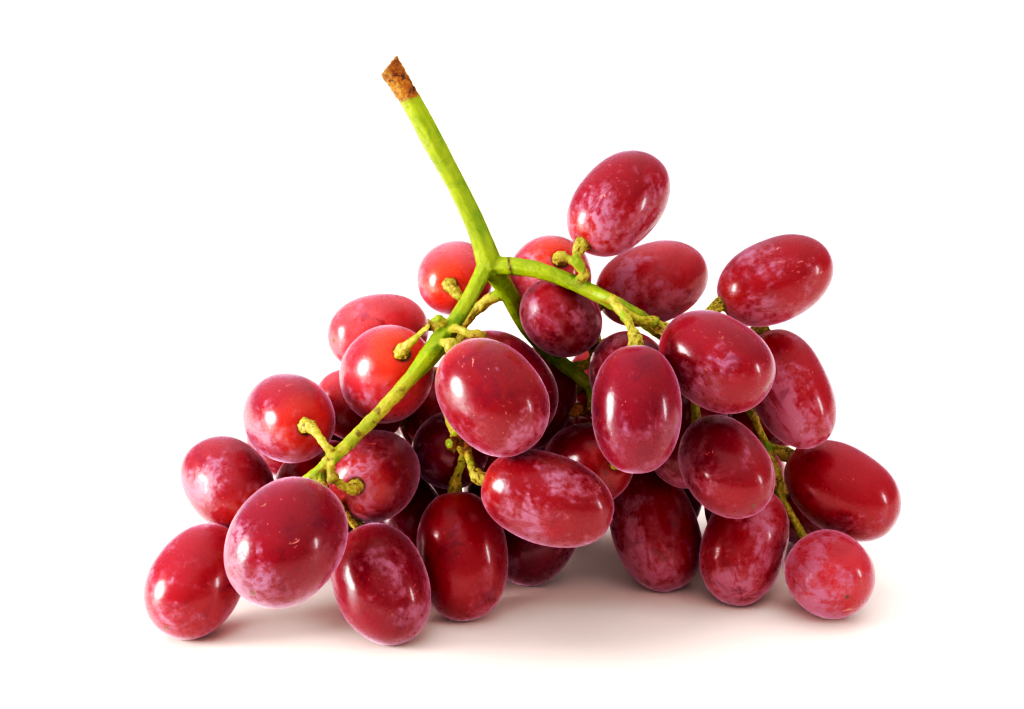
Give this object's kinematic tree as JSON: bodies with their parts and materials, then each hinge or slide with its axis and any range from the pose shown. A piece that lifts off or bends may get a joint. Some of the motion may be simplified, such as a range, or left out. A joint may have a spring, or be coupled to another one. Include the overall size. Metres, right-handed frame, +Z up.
{
  "type": "bunch of grapes",
  "caption": "Bunch of red oval table grapes lying on a surface, berries on a branching green stem with a cut, dried end",
  "frame": {"origin": "middle of the footprint, on the surface the bunch lies on", "axes": "+X along the width of the bunch, +Y from its front to its back, +Z up"},
  "size_m": [0.1662, 0.115, 0.1232],
  "materials": {
    "stem": "matte green stem, brown at its cut end and where the berries join",
    "berry": "smooth crimson skin with a waxy bloom in patches"
  },
  "bodies": {
    "root": {"stem": "stem", "left_shoulder_berry_1": "berry", "left_shoulder_berry_2": "berry", "left_shoulder_berry_3": "berry", "left_shoulder_berry_4": "berry", "left_shoulder_berry_5": "berry", "left_shoulder_berry_6": "berry", "left_shoulder_berry_7": "berry", "left_shoulder_berry_8": "berry", "side_shoot_berry_1": "berry", "side_shoot_berry_2": "berry", "side_shoot_berry_3": "berry", "side_shoot_berry_4": "berry", "side_shoot_berry_5": "berry", "side_shoot_berry_6": "berry", "left_back_shoot_berry_1": "berry", "left_back_shoot_berry_2": "berry", "left_back_shoot_berry_3": "berry", "left_back_shoot_berry_4": "berry", "left_back_shoot_berry_5": "berry", "left_back_shoot_berry_6": "berry", "left_back_shoot_berry_7": "berry", "left_back_shoot_berry_8": "berry", "left_back_shoot_berry_9": "berry", "back_shoot_berry_1": "berry", "back_shoot_berry_2": "berry", "back_shoot_berry_3": "berry", "back_shoot_berry_4": "berry", "top_spur_berry_1": "berry", "top_spur_berry_2": "berry", "front_spur_berry_1": "berry", "front_spur_berry_2": "berry", "inner_spur_berry_1": "berry", "inner_spur_berry_2": "berry", "inner_spur_berry_3": "berry", "inner_spur_berry_4": "berry", "rachis_berry_1": "berry", "rachis_berry_2": "berry", "rachis_berry_3": "berry", "rachis_berry_4": "berry", "right_shoulder_berry_1": "berry", "right_shoulder_berry_2": "berry", "right_shoulder_berry_3": "berry", "right_shoulder_berry_4": "berry", "right_shoulder_berry_5": "berry", "right_shoulder_berry_6": "berry", "right_shoulder_berry_7": "berry", "right_shoulder_berry_8": "berry", "right_shoulder_berry_9": "berry", "right_shoulder_berry_10": "berry", "right_back_shoot_berry_1": "berry", "right_back_shoot_berry_2": "berry", "right_back_shoot_berry_3": "berry", "right_back_shoot_berry_4": "berry", "right_back_shoot_berry_5": "berry"}
  },
  "joints": []
}
